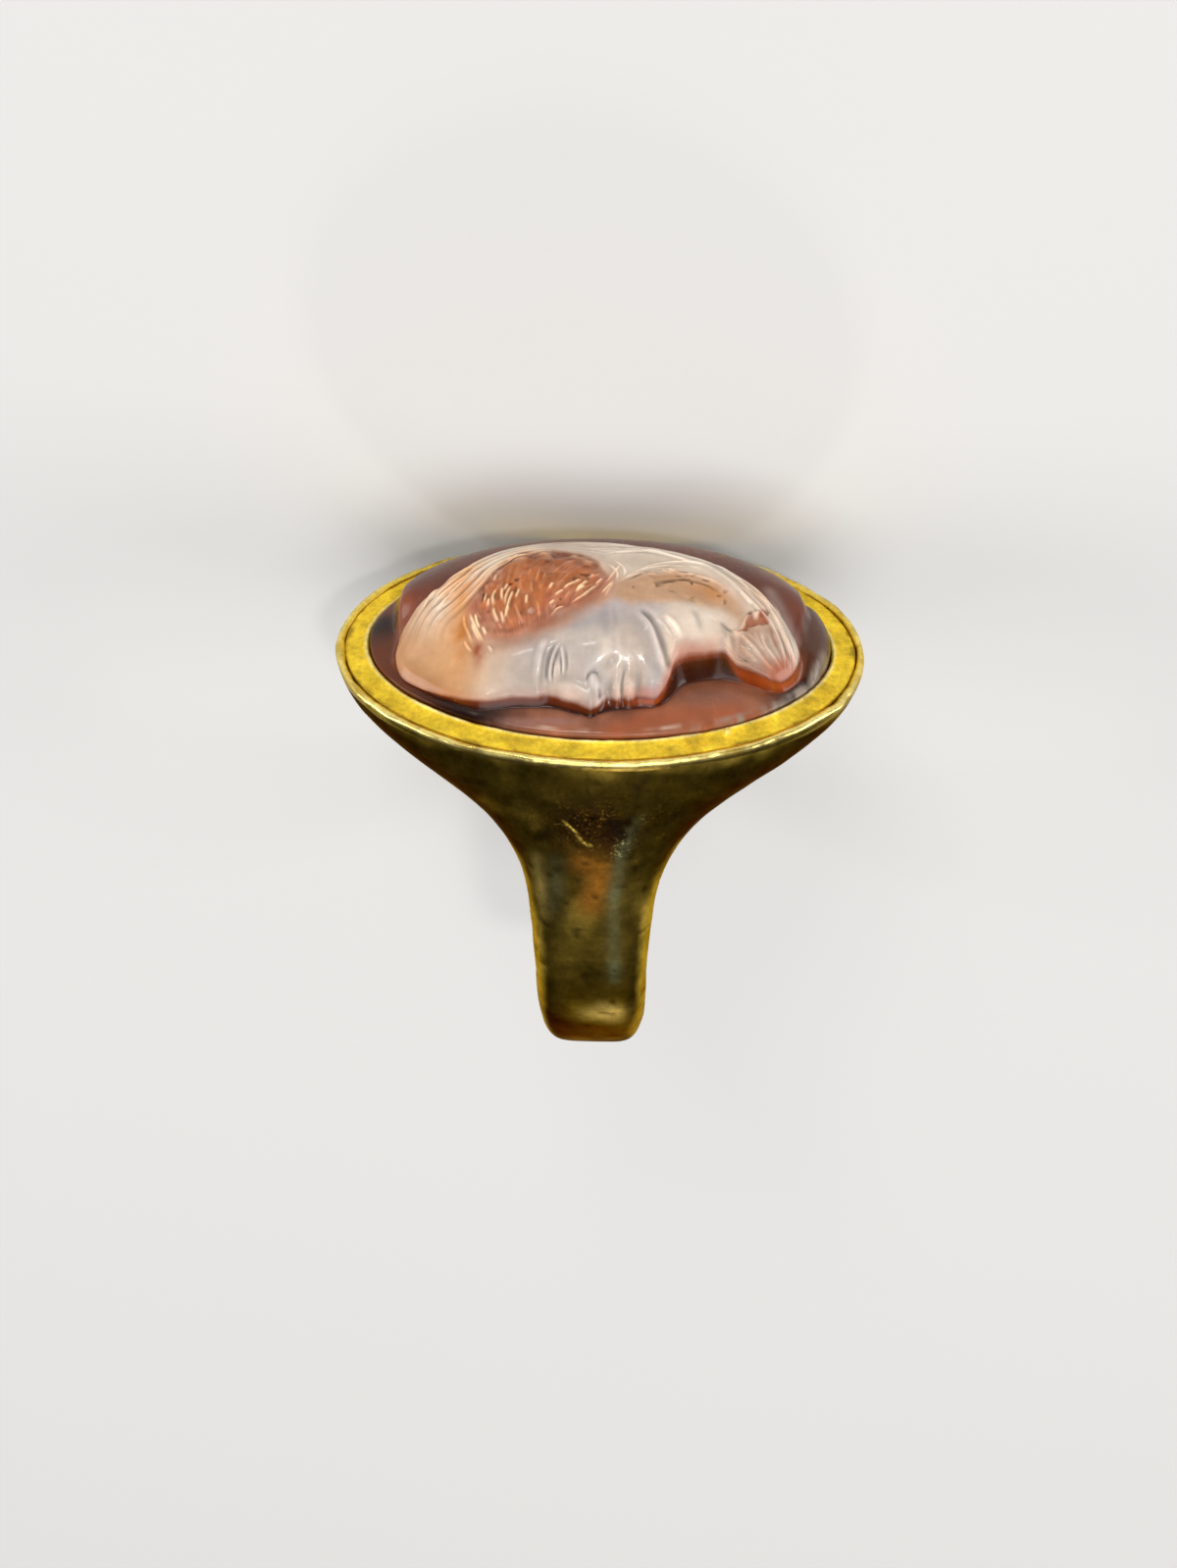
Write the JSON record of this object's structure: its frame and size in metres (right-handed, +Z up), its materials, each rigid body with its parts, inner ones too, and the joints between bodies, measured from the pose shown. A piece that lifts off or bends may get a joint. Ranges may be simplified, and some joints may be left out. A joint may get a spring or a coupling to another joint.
{
  "type": "cameo ring",
  "caption": "Gold finger ring with a flared oval bezel, a collar strip and a high domed layered stone carved in relief with a veiled head.",
  "frame": {"origin": "on the surface that the ring lies on, under the middle of its bounding box", "axes": "+X along the finger hole, -Y the way the stone faces as the ring lies on its side, +Z up"},
  "size_m": [0.0248, 0.0271, 0.0203],
  "materials": {
    "gold_body": "worn gold with a brown film",
    "gold_collar": "matte hammered gold",
    "layered_stone": "polished, layered white on red brown"
  },
  "bodies": {
    "root": {"ring_body": "gold_body", "collar": "gold_collar", "cameo": "layered_stone"}
  },
  "joints": []
}
